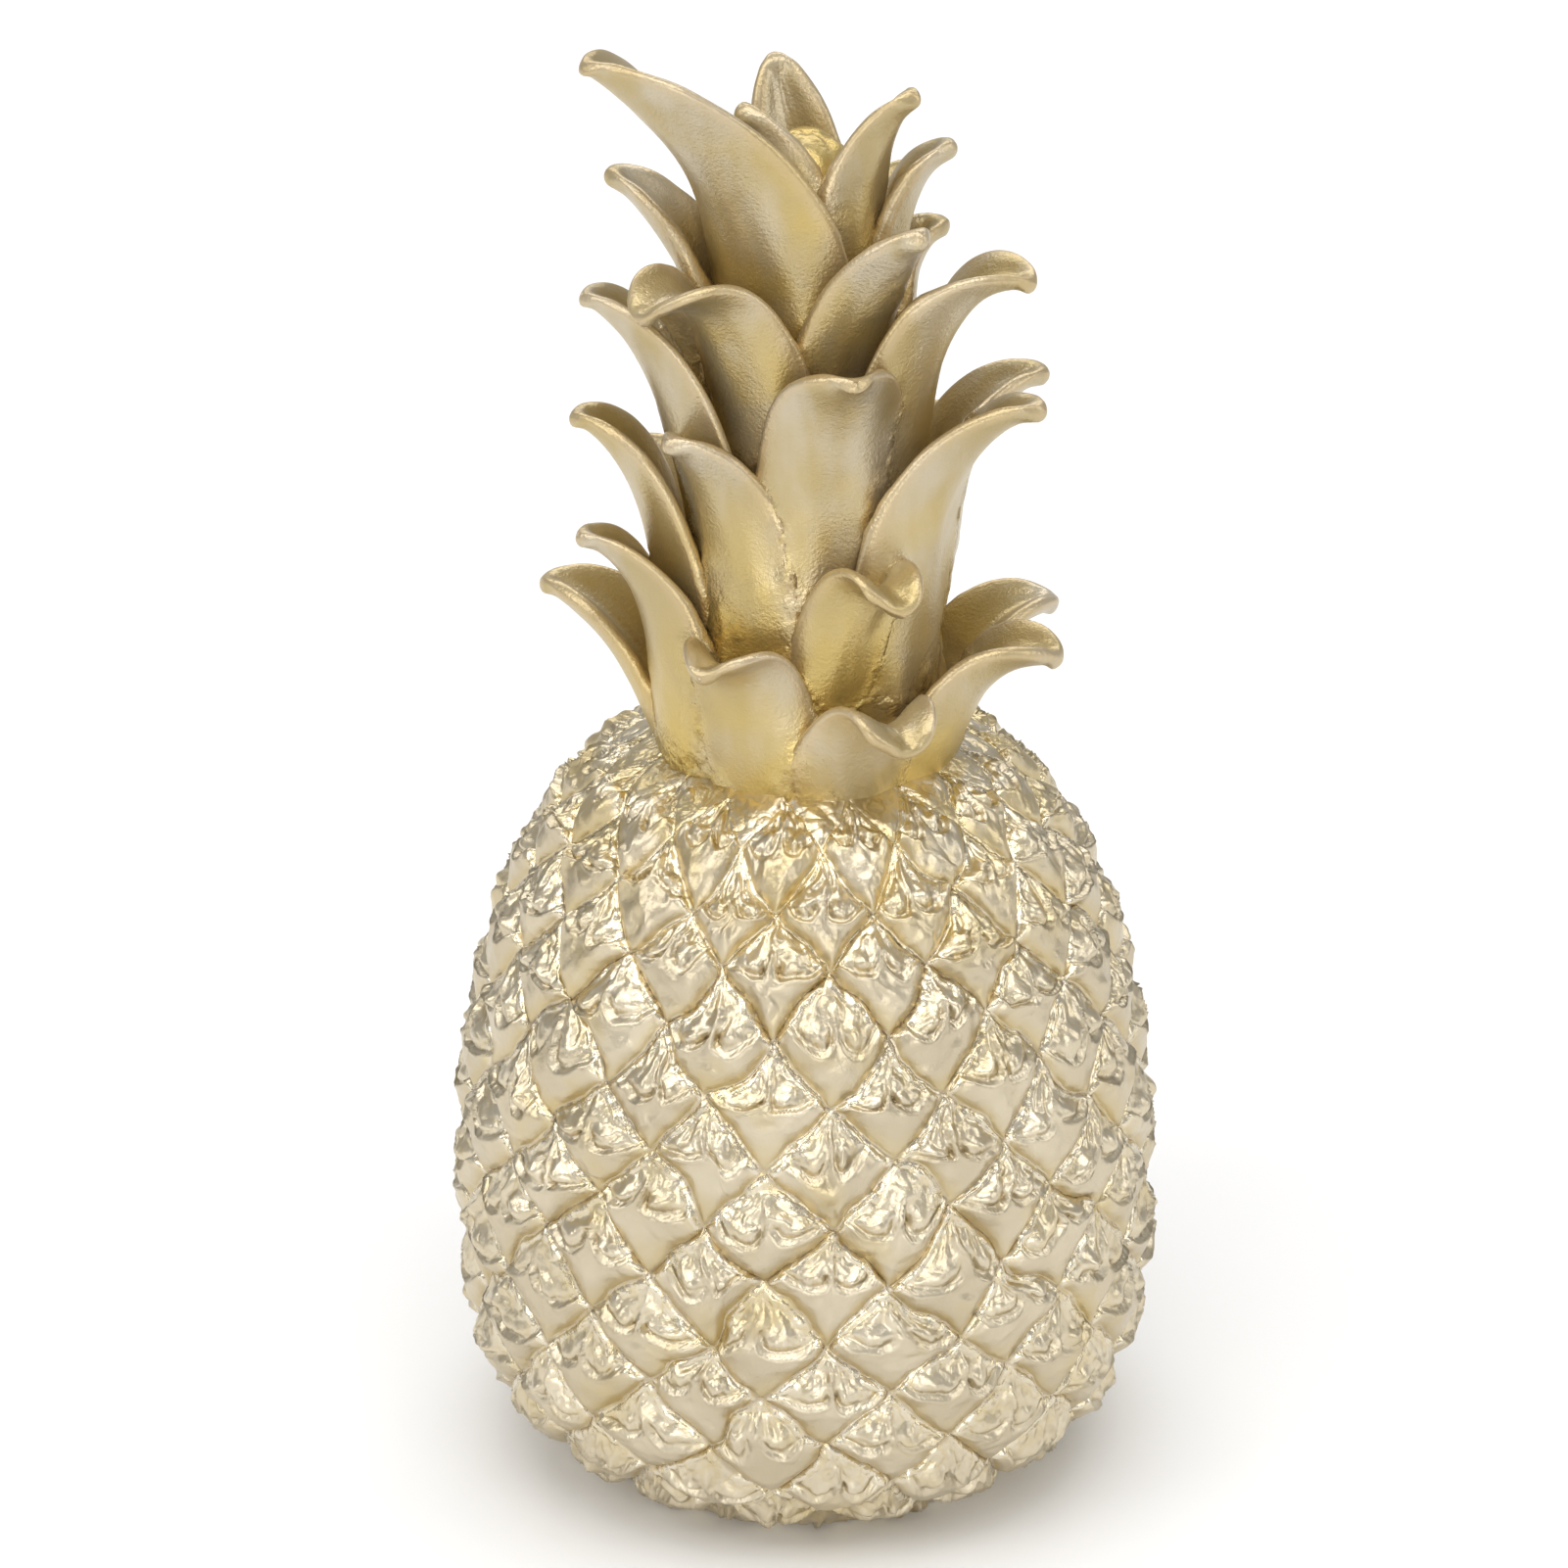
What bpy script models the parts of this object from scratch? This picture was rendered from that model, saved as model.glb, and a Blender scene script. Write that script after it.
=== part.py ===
"""Decorative pineapple: one hollow casting, fruit and crown together, on a flat underside.

Metres, +Z up. The origin is the centre of the underside and the front is -Y.
Azimuths are degrees round +Z from the front, growing towards +X.
"""
from collections import namedtuple
from math import cos, pi, radians, sin, sqrt

import bmesh
import bpy
import numpy as np

NAME = "pineapple"

# Fruit outline: the tops of the eyes, turned round the Z axis
FRUIT_RADIUS = 0.0711
WIDEST_Z = 0.060
SHOULDER_RISE = 0.0988
SHOULDER_POWER = 3.1
FOOT_DROP = 0.0686
FOOT_POWER = 3.8

# Eyes: a diamond lattice of leaning columns and of rows at an even spacing down the outline
EYE_COLUMNS = 17
FIRST_COLUMN_AZIMUTH = -6.5
ROW_SPACING = 0.0127
ROW_AT_WIDEST = 7.57
TOP_ROW = -2
LOW_ROW = 14
EYE_RELIEF = 0.0028
EYE_STEPS = (0.0, 0.22, 0.78)
EYE_FILL = 1.9
EYE_BELLY = 0.20
FOOT_ROW = 12.9

# Core of the crown, which the leaves grow out of
STEM_FOOT_Z = 0.140
STEM_TOP_Z = 0.269
STEM_FOOT_RADIUS = 0.0290
STEM_TOP_RADIUS = 0.0090
STEM_TAPER_POWER = 1.3
STEM_RINGS = 6
BUD_RISE = 0.0090
BUD_RINGS = 3
STEM_SIDES = 16

# Leaf sections: places along the leaf, and places across it from rim to rim
LEAF_STEPS = (0.0, 0.20, 0.40, 0.58, 0.75, 0.90, 1.0)
CURLED_STEPS = (0.0, 0.25, 0.45, 0.60, 0.72, 0.82, 0.91, 1.0)
OUTER_STEPS = (-1.0, -0.55, 0.0, 0.55, 1.0)
LEAF_SINK = 0.0020
LEAF_BASE_THICKNESS = 0.0066
LEAF_TIP_THICKNESS = 0.0036
LEAF_RIM = 0.0022
LEAF_BASE_WIDTH = 0.86
LEAF_SWELL_SHARE = 0.30
LEAF_CUP = 0.42
LEAF_GROOVE = 0.40
TIP_HALF_WIDTH = 0.0018
TIP_POWER = 0.66
TIP_STOUTNESS = 1.5
RIM_STOUTNESS = 0.8
TIP_REACH = 0.35

# Each leaf: azimuth and height of its base, azimuth, radius and height of its tip, half width,
# pitch of the tip above level, share of its length that rises along the core, fullness of its end
Leaf = namedtuple("Leaf", "azimuth z tip_azimuth tip_radius tip_z half_width pitch rise fullness")
LEAVES = {
    # Lowest ring
    "low_front_left": Leaf(-19, 0.142, -29, 0.042, 0.1805, 0.0130, -10, 0.62, 5.0),
    "low_front_right": Leaf(17, 0.140, 26, 0.0435, 0.1660, 0.0124, -58, 0.78, 5.0),
    "low_right": Leaf(62, 0.142, 76, 0.051, 0.174, 0.0160, -15, 0.50, 3.5),
    "low_right_back": Leaf(108, 0.142, 110, 0.053, 0.1735, 0.0135, -5, 0.50, 3.5),
    "low_back_right": Leaf(152, 0.142, 148, 0.050, 0.180, 0.0135, 5, 0.50, 3.5),
    "low_back_left": Leaf(-156, 0.142, -150, 0.050, 0.178, 0.0135, 10, 0.50, 3.5),
    "low_left_back": Leaf(-108, 0.142, -103, 0.054, 0.181, 0.0140, 20, 0.45, 4.0),
    "low_left": Leaf(-64, 0.142, -72, 0.047, 0.2015, 0.0145, 30, 0.45, 4.0),
    # Second ring
    "second_front_curl": Leaf(14, 0.162, 28, 0.039, 0.193, 0.0105, -45, 0.82, 5.0),
    "second_front_left": Leaf(-27, 0.166, -47, 0.037, 0.225, 0.0112, 40, 0.50, 6.0),
    "second_front": Leaf(8, 0.180, 15, 0.037, 0.2405, 0.0140, 40, 0.52, 8.0),
    "second_right": Leaf(50, 0.160, 66, 0.050, 0.2295, 0.0165, 20, 0.40, 3.5),
    "second_right_back": Leaf(98, 0.170, 100, 0.048, 0.2262, 0.0150, 15, 0.42, 3.5),
    "second_back_right": Leaf(142, 0.166, 138, 0.045, 0.210, 0.0140, 25, 0.42, 3.5),
    "second_back": Leaf(-172, 0.176, -176, 0.046, 0.222, 0.0140, 30, 0.42, 3.5),
    "second_back_left": Leaf(-126, 0.166, -130, 0.045, 0.204, 0.0140, 25, 0.42, 3.5),
    "second_left": Leaf(-80, 0.172, -85, 0.046, 0.2222, 0.0150, 30, 0.31, 4.5),
    # Third ring
    "third_left": Leaf(-71, 0.192, -78, 0.0445, 0.2485, 0.0170, 35, 0.32, 4.5),
    "third_front_curl": Leaf(-33, 0.210, -50, 0.041, 0.249, 0.0134, -32, 0.68, 5.0),
    "third_front_right": Leaf(24, 0.222, 38, 0.036, 0.2675, 0.0105, 50, 0.50, 4.5),
    "third_right": Leaf(58, 0.194, 70, 0.0462, 0.2528, 0.0170, 0, 0.40, 4.5),
    "third_right_back": Leaf(108, 0.218, 112, 0.030, 0.256, 0.0100, 20, 0.42, 4.0),
    "third_back_right": Leaf(156, 0.200, 152, 0.042, 0.244, 0.0130, 30, 0.40, 3.5),
    "third_back_left": Leaf(-150, 0.200, -154, 0.042, 0.248, 0.0130, 35, 0.40, 3.5),
    "third_left_back": Leaf(-108, 0.198, -113, 0.036, 0.237, 0.0145, 35, 0.42, 4.0),
    # Top ring
    "top_left": Leaf(-24, 0.232, -66, 0.0462, 0.2975, 0.0172, 42, 0.45, 7.0),
    "top_left_back": Leaf(-100, 0.224, -100, 0.0395, 0.268, 0.0115, 35, 0.42, 4.0),
    "top_back_left": Leaf(-140, 0.238, -138, 0.029, 0.270, 0.0095, 50, 0.45, 3.5),
    "top_back": Leaf(175, 0.246, 198, 0.021, 0.288, 0.0090, 75, 0.50, 5.0),
    "top_back_right": Leaf(130, 0.238, 130, 0.028, 0.266, 0.0095, 45, 0.45, 3.5),
    "top_right": Leaf(42, 0.244, 66, 0.0235, 0.289, 0.0100, 50, 0.45, 4.5),
    "top_right_back": Leaf(85, 0.234, 88, 0.029, 0.276, 0.0100, 35, 0.42, 4.0),
    "top_heart": Leaf(-12, 0.252, -60, 0.015, 0.286, 0.0090, 70, 0.50, 4.0),
}

SMOOTH_ANGLE = radians(38)
GOLD = (0.62, 0.50, 0.28, 1.0)
GOLD_ROUGHNESS = 0.32
GOLD_METALLIC = 0.85


def clear_scene():
    for thing in list(bpy.data.objects):
        bpy.data.objects.remove(thing, do_unlink=True)


def new_collection(name):
    collection = bpy.data.collections.new(name)
    bpy.context.scene.collection.children.link(collection)
    return collection


def add_object(name, bm, collection):
    """Turn a bmesh into an object of the collection."""
    bmesh.ops.recalc_face_normals(bm, faces=bm.faces)
    mesh = bpy.data.meshes.new(name)
    bm.to_mesh(mesh)
    bm.free()
    thing = bpy.data.objects.new(name, mesh)
    collection.objects.link(thing)
    return thing


def hide_tool(thing):
    thing.hide_render = True
    thing.display_type = "WIRE"


def outline_point(angle):
    """Radius and height of the fruit's outline at a parameter angle, zero at the widest ring."""
    if angle >= 0.0:
        return FRUIT_RADIUS * cos(angle) ** (2.0 / SHOULDER_POWER), WIDEST_Z + SHOULDER_RISE * sin(angle)
    return FRUIT_RADIUS * cos(angle), WIDEST_Z - FOOT_DROP * sin(-angle) ** (2.0 / FOOT_POWER)


def measure_outline(samples=4000):
    """The outline as radii and heights against its length, measured down from the widest ring."""
    angles = np.linspace(radians(89.9), radians(-80.0), samples)
    points = np.array([outline_point(angle) for angle in angles])
    steps = np.hypot(*np.diff(points, axis=0).T)
    lengths = np.concatenate([[0.0], np.cumsum(steps)])
    lengths -= np.interp(0.0, -angles, lengths)
    return lengths, points


def fruit_point(column, row, depth, outline):
    """Point of the fruit at a place of the lattice, sunk under the outline by a depth."""
    lengths, points = outline
    place = (row - ROW_AT_WIDEST) * ROW_SPACING
    radius, height = (np.interp(place, lengths, points[:, axis]) for axis in (0, 1))
    reach = ROW_SPACING / 10
    drift = [np.interp(place + reach, lengths, points[:, axis]) for axis in (0, 1)]
    run, fall = drift[0] - radius, drift[1] - height
    slope = sqrt(run * run + fall * fall)
    radius += depth * fall / slope
    height -= depth * run / slope
    azimuth = radians(FIRST_COLUMN_AZIMUTH) + column * pi / EYE_COLUMNS
    return radius * sin(azimuth), -radius * cos(azimuth), height


def eye_depth(across, down, row):
    """Depth of an eye under the outline; across and down run along its two pairs of sides."""
    if row > FOOT_ROW:
        return 0.0
    pillow = 4.0 * across * (1.0 - across) * 4.0 * down * (1.0 - down)
    lean = 1.0 + EYE_BELLY * (across + down - 1.0)
    return EYE_RELIEF * (1.0 - min(1.0, EYE_FILL * pillow * lean))


def build_fruit(collection):
    """The fruit as a net of diamonds, each eye split in three both ways, capped at both ends."""
    outline = measure_outline()
    steps = len(EYE_STEPS)
    round_count = 2 * EYE_COLUMNS * steps
    bm = bmesh.new()
    net = {}

    def net_vertex(along, against):
        lane = (along - against) % round_count
        level = along + against
        if (lane, level) not in net:
            first = (level + lane) // 2
            second = (level - lane) // 2
            a = first // steps + EYE_STEPS[first % steps]
            b = second // steps + EYE_STEPS[second % steps]
            row = a + b - 1.0
            depth = eye_depth(a % 1.0, b % 1.0, row)
            net[lane, level] = bm.verts.new(fruit_point(a - b, row, depth, outline))
        return net[lane, level]

    top_level = (TOP_ROW + 1) * steps
    low_level = (LOW_ROW + 1) * steps
    for level in range(top_level, low_level - 1):
        for lane in range(level % 2, round_count, 2):
            first = (level + lane) // 2
            second = (level - lane) // 2
            corners = ((first, second), (first, second + 1), (first + 1, second + 1), (first + 1, second))
            bm.faces.new([net_vertex(*corner) for corner in corners])
    for end_level in (top_level, low_level - 1):
        ring = [net[lane, end_level + (lane + end_level) % 2] for lane in range(round_count)]
        middle = bm.verts.new((0.0, 0.0, ring[0].co.z))
        for i, corner in enumerate(ring):
            bm.faces.new((corner, ring[(i + 1) % round_count], middle))
    bmesh.ops.triangulate(bm, faces=bm.faces)
    return add_object(NAME, bm, collection)


def add_floor_cutter(collection):
    """A block whose top is the plane that the pineapple stands on."""
    size = 4 * FRUIT_RADIUS
    bpy.ops.mesh.primitive_cube_add(size=size, location=(0, 0, -size / 2))
    cutter = bpy.context.object
    cutter.name = "floor_cutter"
    for owner in list(cutter.users_collection):
        owner.objects.unlink(cutter)
    collection.objects.link(cutter)
    hide_tool(cutter)
    return cutter


def stem_radius(z):
    share = min(1.0, max(0.0, (z - STEM_FOOT_Z) / (STEM_TOP_Z - STEM_FOOT_Z)))
    return STEM_FOOT_RADIUS + (STEM_TOP_RADIUS - STEM_FOOT_RADIUS) * share ** STEM_TAPER_POWER


def build_stem(collection):
    """The core of the crown and the round bud on top of it, turned round the Z axis."""
    heights = np.linspace(STEM_TOP_Z, STEM_FOOT_Z, STEM_RINGS)
    bm = bmesh.new()
    profile = [bm.verts.new((0.0, 0.0, STEM_TOP_Z + BUD_RISE))]
    for turn in np.linspace(pi / 2, 0.0, BUD_RINGS + 1)[1:-1]:
        profile.append(bm.verts.new((STEM_TOP_RADIUS * cos(turn), 0.0, STEM_TOP_Z + BUD_RISE * sin(turn))))
    profile += [bm.verts.new((stem_radius(z), 0.0, z)) for z in heights]
    profile.append(bm.verts.new((0.0, 0.0, STEM_FOOT_Z)))
    for upper, lower in zip(profile, profile[1:]):
        bm.edges.new((upper, lower))
    stem = add_object("crown_stem", bm, collection)
    screw = stem.modifiers.new("turn", "SCREW")
    screw.steps = STEM_SIDES
    screw.render_steps = STEM_SIDES
    screw.use_merge_vertices = True
    screw.merge_threshold = 0.0001
    hide_tool(stem)
    return stem


def polar(azimuth, radius, z):
    angle = radians(azimuth)
    return np.array([radius * sin(angle), -radius * cos(angle), z])


def leaf_route(leaf):
    """The four control points of the cubic curve down the middle of a leaf's outer face."""
    up = np.array([0.0, 0.0, 1.0])
    base = polar(leaf.azimuth, stem_radius(leaf.z) - LEAF_SINK, leaf.z)
    tip = polar(leaf.tip_azimuth, leaf.tip_radius, leaf.tip_z)
    length = np.linalg.norm(tip - base)
    climb = leaf.rise * length
    out_of_base = 2 * LEAF_SINK + LEAF_BASE_THICKNESS
    lean = stem_radius(leaf.z + climb) - stem_radius(leaf.z) + out_of_base
    bend = base + climb * up + lean * polar(leaf.azimuth, 1.0, 0.0)
    pitch = radians(leaf.pitch)
    end = polar(leaf.tip_azimuth, cos(pitch), sin(pitch))
    return base, bend, tip - TIP_REACH * length * end, tip


def cubic(route, t):
    a, b, c, d = route
    s = 1.0 - t
    point = s ** 3 * a + 3 * s * s * t * b + 3 * s * t * t * c + t ** 3 * d
    run = s * s * (b - a) + 2 * s * t * (c - b) + t * t * (d - c)
    return point, run / np.linalg.norm(run)


def leaf_section(leaf, route, t):
    """Corners round a leaf at a share of its length: the bulging outer face, then the grooved inner."""
    centre, run = cubic(route, t)
    azimuth = radians(leaf.azimuth + (leaf.tip_azimuth - leaf.azimuth) * t)
    across = np.array([cos(azimuth), sin(azimuth), 0.0])
    across -= run * across.dot(run)
    across /= np.linalg.norm(across)
    outward = np.cross(across, run)
    swell = LEAF_BASE_WIDTH + (1.0 - LEAF_BASE_WIDTH) * min(1.0, t / LEAF_SWELL_SHARE)
    width = leaf.half_width * swell * (1.0 - t ** leaf.fullness) ** TIP_POWER
    width = max(TIP_HALF_WIDTH, width)
    thick = LEAF_BASE_THICKNESS + (LEAF_TIP_THICKNESS - LEAF_BASE_THICKNESS) * t
    thick = min(thick, TIP_STOUTNESS * width)
    rim = min(LEAF_RIM, RIM_STOUTNESS * width)
    cup = LEAF_CUP * width
    corners = [(s * width, -cup * s * s) for s in OUTER_STEPS]
    lean = sqrt(1.0 + 4.0 * LEAF_CUP * LEAF_CUP)
    rim_across = width - rim * 2.0 * LEAF_CUP / lean
    rim_inward = -cup - rim / lean
    corners += [(rim_across, rim_inward), (0.0, thick * (LEAF_GROOVE - 1.0)), (-rim_across, rim_inward)]
    return [centre + x * across + y * outward for x, y in corners]


def build_leaf(name, leaf, collection):
    """A leaf as a closed loft from its base inside the core to its tip."""
    route = leaf_route(leaf)
    bm = bmesh.new()
    rings = []
    for t in CURLED_STEPS if leaf.pitch < 0 else LEAF_STEPS:
        rings.append([bm.verts.new(corner) for corner in leaf_section(leaf, route, t)])
    count = len(rings[0])
    for lower, upper in zip(rings, rings[1:]):
        for i in range(count):
            j = (i + 1) % count
            bm.faces.new((lower[i], lower[j], upper[j], upper[i]))
    bm.faces.new(rings[0])
    bm.faces.new(rings[-1])
    bmesh.ops.triangulate(bm, faces=bm.faces)
    thing = add_object(name, bm, collection)
    hide_tool(thing)
    return thing


def add_boolean(thing, operation, collection=None, tool=None):
    boolean = thing.modifiers.new(operation.lower(), "BOOLEAN")
    boolean.operation = operation
    boolean.solver = "EXACT"
    if collection is not None:
        boolean.operand_type = "COLLECTION"
        boolean.collection = collection
    else:
        boolean.object = tool
    return boolean


def apply_modifiers(thing):
    """Give the object the mesh that its modifiers make."""
    depsgraph = bpy.context.evaluated_depsgraph_get()
    mesh = bpy.data.meshes.new_from_object(thing.evaluated_get(depsgraph))
    thing.modifiers.clear()
    thing.data = mesh


def shell_of(start):
    """All the vertices joined to one vertex by edges."""
    shell = {start}
    waiting = [start]
    while waiting:
        for edge in waiting.pop().link_edges:
            for corner in edge.verts:
                if corner not in shell:
                    shell.add(corner)
                    waiting.append(corner)
    return shell


def fill_pockets(thing):
    """Fill the sealed pockets between leaves and core: only the largest shell stays."""
    bm = bmesh.new()
    bm.from_mesh(thing.data)
    left = set(bm.verts)
    shells = []
    while left:
        shells.append(shell_of(next(iter(left))))
        left -= shells[-1]
    shells.sort(key=len)
    pockets = [corner for shell in shells[:-1] for corner in shell]
    bmesh.ops.delete(bm, geom=pockets, context="VERTS")
    bm.to_mesh(thing.data)
    bm.free()


def gold_material():
    material = bpy.data.materials.new("gold_paint")
    material.use_nodes = True
    shader = material.node_tree.nodes["Principled BSDF"]
    shader.inputs["Base Color"].default_value = GOLD
    shader.inputs["Roughness"].default_value = GOLD_ROUGHNESS
    shader.inputs["Metallic"].default_value = GOLD_METALLIC
    material.diffuse_color = GOLD
    return material


def main():
    clear_scene()
    parts = new_collection(NAME)
    joined = new_collection("joined_forms")
    cutters = new_collection("cutters")
    fruit = build_fruit(parts)
    build_stem(joined)
    for name, leaf in LEAVES.items():
        build_leaf(name, leaf, joined)
    add_boolean(fruit, "UNION", collection=joined)
    add_boolean(fruit, "DIFFERENCE", tool=add_floor_cutter(cutters))
    apply_modifiers(fruit)
    fill_pockets(fruit)
    fruit.data.materials.append(gold_material())
    fruit.data.shade_smooth()
    fruit.data.set_sharp_from_angle(angle=SMOOTH_ANGLE)


main()
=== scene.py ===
"""Looks of the decorative pineapple: carved fruit, leafy crown, gold paint, studio and camera.

Metres, +Z up, front at -Y. Azimuths are degrees round +Z from the front, growing towards +X.
The fruit's outline, the spacing of the eyes, the core and the leaves repeat named values of the
solids. The eyes' relief and end rows, the leaves' rims and the numbers of points are this script's own.
"""
from collections import namedtuple
from math import cos, pi, radians, sin, sqrt

import bpy
import numpy as np
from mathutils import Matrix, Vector
from mathutils.bvhtree import BVHTree


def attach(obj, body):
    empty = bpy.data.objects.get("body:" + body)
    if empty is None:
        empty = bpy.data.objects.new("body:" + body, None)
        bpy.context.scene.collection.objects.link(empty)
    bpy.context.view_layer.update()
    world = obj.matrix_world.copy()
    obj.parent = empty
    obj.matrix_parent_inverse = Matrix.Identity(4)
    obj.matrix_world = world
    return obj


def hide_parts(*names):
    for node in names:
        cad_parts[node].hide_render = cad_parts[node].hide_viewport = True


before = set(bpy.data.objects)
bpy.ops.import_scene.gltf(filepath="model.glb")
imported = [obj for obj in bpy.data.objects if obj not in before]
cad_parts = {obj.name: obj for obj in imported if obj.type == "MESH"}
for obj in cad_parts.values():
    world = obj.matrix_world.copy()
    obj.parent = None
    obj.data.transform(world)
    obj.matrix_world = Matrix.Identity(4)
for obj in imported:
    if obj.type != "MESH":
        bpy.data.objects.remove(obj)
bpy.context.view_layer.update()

NODE = "pineapple"

# Fruit outline: the tops of the eyes, turned round the Z axis
FRUIT_RADIUS = 0.0711
WIDEST_Z = 0.060
SHOULDER_RISE = 0.0988
SHOULDER_POWER = 3.1
FOOT_DROP = 0.0686
FOOT_POWER = 3.8
OUTLINE_TURNS = (89.9, -80.0)
OUTLINE_SAMPLES = 4000

# Eyes: a diamond lattice of leaning columns and of rows at an even spacing down the outline
EYE_COLUMNS = 17
FIRST_COLUMN_AZIMUTH = -6.5
ROW_SPACING = 0.0127
ROW_AT_WIDEST = 7.57
EYE_SPLITS = 36
TOP_ROW = -1.25
LOW_ROW = 13.45
FOOT_ROW = 12.9
EYE_RELIEF = 0.0033
WEB_ROW = -1
CORNER_POWER = 1.6

# Sway of the lattice: size of its waves in metres, share of an eye, seed
SWAYS = ((0.011, 0.19, 51), (0.0032, 0.035, 53))

# Carving of an eye. Heights and levels are shares of the relief, walls and cords shares of a side, and
# other places and sizes shares of half a diagonal. A pair of limits is a range that each eye draws from.
CHANCES = 20
CHANCE_SEED = 100
CROWN_ROWS = (4.0, 0.5)
SPINE_LEANS = (-0.12, 0.12)
SPINE_WIDTHS = (0.040, 0.070)
SPINE_REACHES = (0.26, 0.66)
LIP_PLACES = (-0.19, -0.01)
SCALLOP_PLACE = 0.30
SCALLOP_CURVES = (0.5, 1.7)
SHIELD_LEVEL = 0.82
FLOOR_LEVEL = 0.70
PAD_PLACES = (0.27, 0.37)
PAD_BEHIND_LIP = 0.25
PAD_SIZE = (0.17, 0.15)
PAD_HEIGHTS = (0.18, 0.52)
SLIT_PLACE = 0.115
SLIT_BEHIND_LIP = 0.12
SLIT_SIZE = (0.045, 0.11)
SLIT_DEPTH = 0.60
FOLD_HEIGHTS = (0.06, 0.14)
FOLD_TURNS = (11.0, 21.0)
EYE_SIZES = (0.92, 1.08)
SIDE_TILTS = (-0.10, 0.10)
UP_TILTS = (-0.07, 0.07)
SHIELD_WALL = 0.20
UPPER_WALL_GAIN = 0.16
FOOT_WALL = 0.30
WEB_WALL = 0.16
WEB_LEVEL = 0.66
GROOVE_LEVEL = 0.06
CORD_HEIGHT = 0.15
CORD_PLACE = 0.046
CORD_WIDTH = 0.027
FOOT_LEVEL = 0.9

# Pieces of the fruit, each down to a row of eyes
BANDS = {"fruit_top": 2, "fruit_upper": 6, "fruit_lower": 10, "fruit_foot": 99}

# Core of the crown
STEM_FOOT_Z = 0.140
STEM_TOP_Z = 0.269
STEM_FOOT_RADIUS = 0.0290
STEM_TOP_RADIUS = 0.0090
STEM_TAPER_POWER = 1.3
STEM_LEVELS = 90
BUD_RISE = 0.0090
BUD_LEVELS = 12
STEM_SIDES = 72
STEM_LUMPS = ((0.0012, 0.006, 61), (0.0008, 0.0025, 62))

# Leaf sections
LEAF_STATIONS = 58
OUTER_POINTS = 19
INNER_POINTS = 15
RIM_POINTS = 4
LEAF_SINK = 0.0020
LEAF_BASE_THICKNESS = 0.0066
LEAF_TIP_THICKNESS = 0.0036
LEAF_RIM = 0.0027
LEAF_BASE_WIDTH = 0.86
LEAF_SWELL_SHARE = 0.30
LEAF_CUP = 0.42
LEAF_GROOVE = 0.40
NOSE_RADIUS = 0.0027
NOSE_HALF_THICKNESS = 0.0021
NOSE_SHIFT = 0.5
NOSE_WIDTHS = (0.0070, 0.0030)
OVAL_EDGE = 94.0
OVAL_RIM = 32.0
TIP_POWER = 0.66
TIP_STOUTNESS = 1.5
RIM_STOUTNESS = 0.8
TIP_REACH = 0.35
LEAST_WIDTH = 0.00005
RIM_INSET = 0.35
INNER_RIM_INSET = 0.2
RIM_FULLNESS = 0.9
INNER_POWER = 1.2
RIDGE_HEIGHT = 0.00030
RIDGE_SPREAD = 0.00025
VEIN_HEIGHT = 0.00045
VEIN_WIDTH = 0.10
INNER_WAVE = 0.00018
STATION_CROWDING = 1.5
LEAF_SEED = 40
LEAF_SWAYS = ((0.00032, 0.016, 21), (0.00010, 0.006, 22))

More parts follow.
